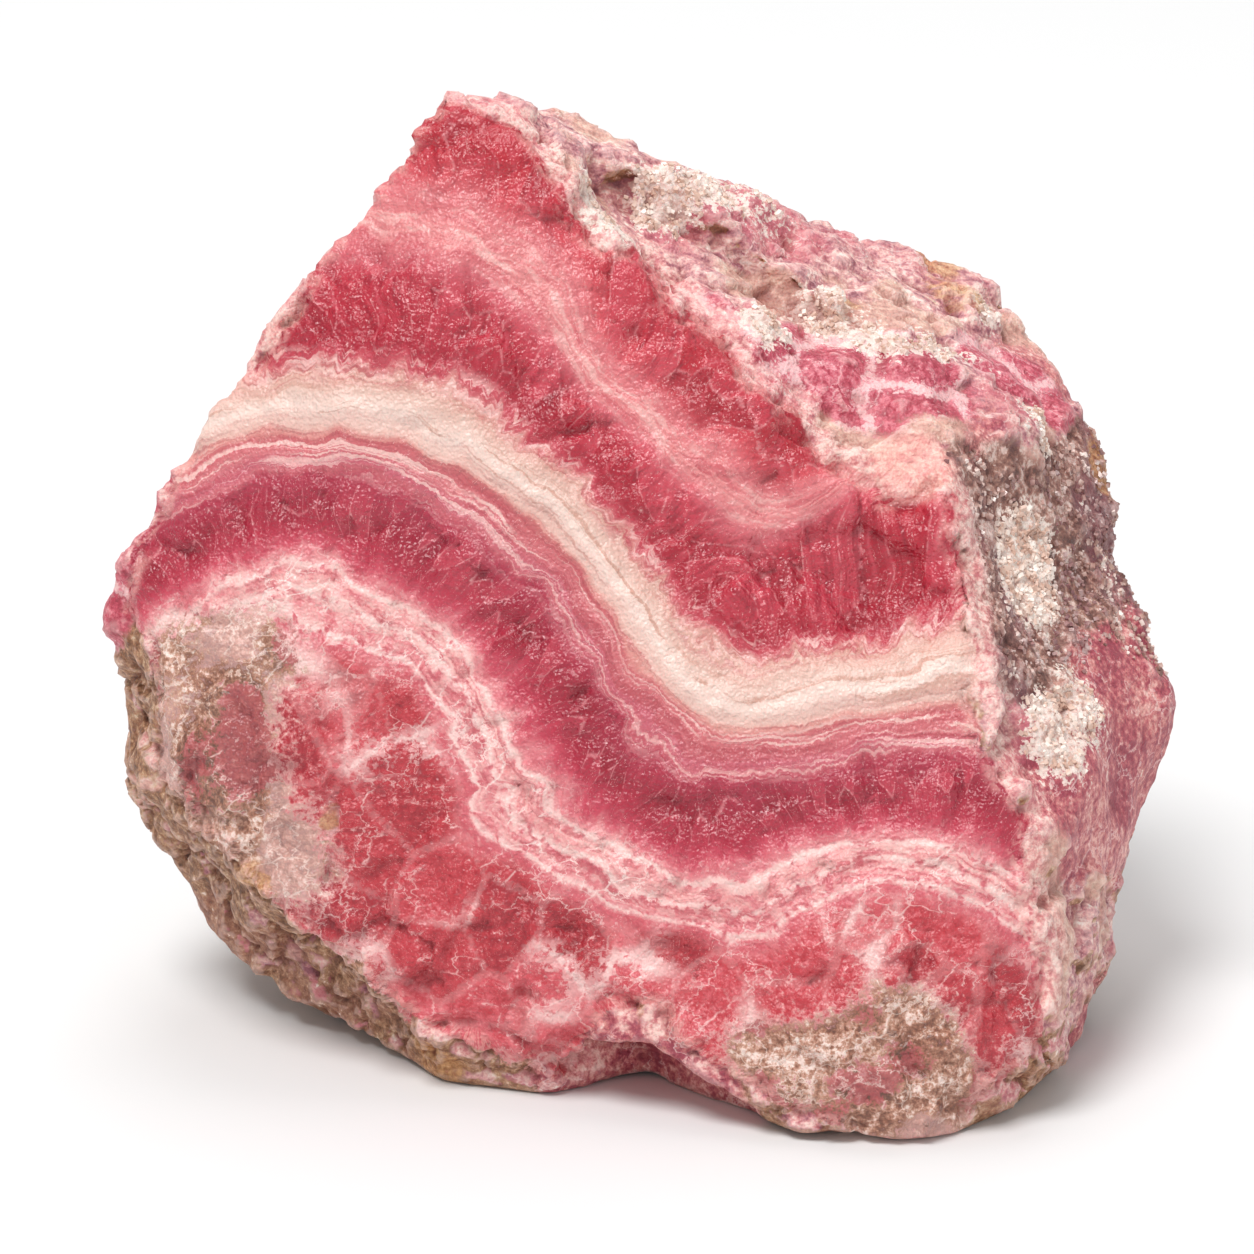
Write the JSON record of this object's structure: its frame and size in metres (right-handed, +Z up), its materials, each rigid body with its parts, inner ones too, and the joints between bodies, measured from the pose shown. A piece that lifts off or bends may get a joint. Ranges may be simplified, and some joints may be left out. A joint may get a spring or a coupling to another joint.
{
  "type": "rhodochrosite specimen",
  "caption": "Broken lump of banded pink rhodochrosite with a crusted top, granular matrix sides and a worn foot that it stands on.",
  "frame": {"origin": "centre of the specimen's box on the ground", "axes": "+Z up as it stands, -Y out of the banded face, +X to the right as the banded face is looked at"},
  "size_m": [0.1068, 0.0768, 0.0921],
  "materials": {
    "rhodochrosite": "broken vitreous to pearly stone, banded deep red, rose, salmon and cream, with beige and mauve granular matrix"
  },
  "bodies": {
    "root": {"rhodochrosite_specimen": "rhodochrosite"}
  },
  "joints": []
}
